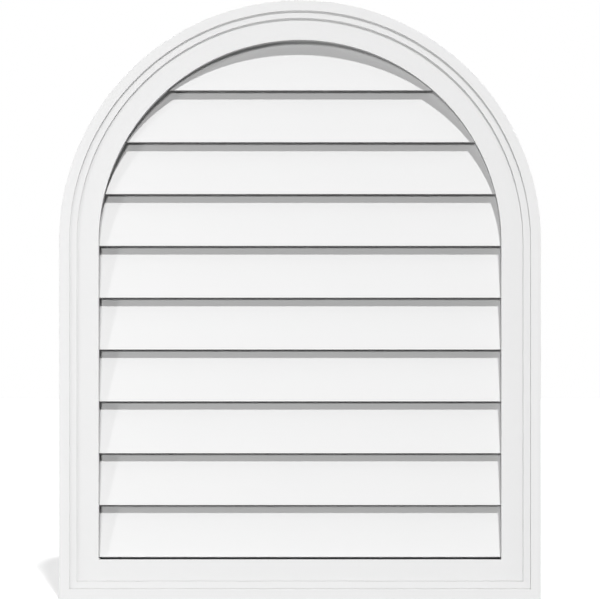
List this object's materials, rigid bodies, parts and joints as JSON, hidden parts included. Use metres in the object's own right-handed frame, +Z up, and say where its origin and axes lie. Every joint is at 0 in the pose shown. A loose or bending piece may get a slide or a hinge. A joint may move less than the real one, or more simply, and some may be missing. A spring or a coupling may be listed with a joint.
{
  "type": "gable vent",
  "caption": "Half-round-top louvered gable vent: a mitred frame of stepped moulding, sloping louvers let into its grooves, and an insect screen stapled on the wall side.",
  "frame": {"origin": "on the wall plane, in the middle of the vent's bottom edge", "axes": "+X to the right as seen from in front, +Y into the wall, +Z up"},
  "size_m": [0.6128, 0.0381, 0.7619],
  "materials": {
    "white_pvc": "smooth satin white cellular PVC",
    "screen_mesh": "galvanised welded wire cloth, 8 wires to the inch",
    "staple_wire": "bright galvanised wire"
  },
  "bodies": {
    "root": {"arch_head": "white_pvc", "left_jamb": "white_pvc", "right_jamb": "white_pvc", "bottom_rail": "white_pvc", "louver_01": "white_pvc", "louver_02": "white_pvc", "louver_03": "white_pvc", "louver_04": "white_pvc", "louver_05": "white_pvc", "louver_06": "white_pvc", "louver_07": "white_pvc", "louver_08": "white_pvc", "louver_09": "white_pvc", "louver_10": "white_pvc", "insect_screen": "screen_mesh", "screen_staples": "staple_wire"}
  },
  "joints": []
}
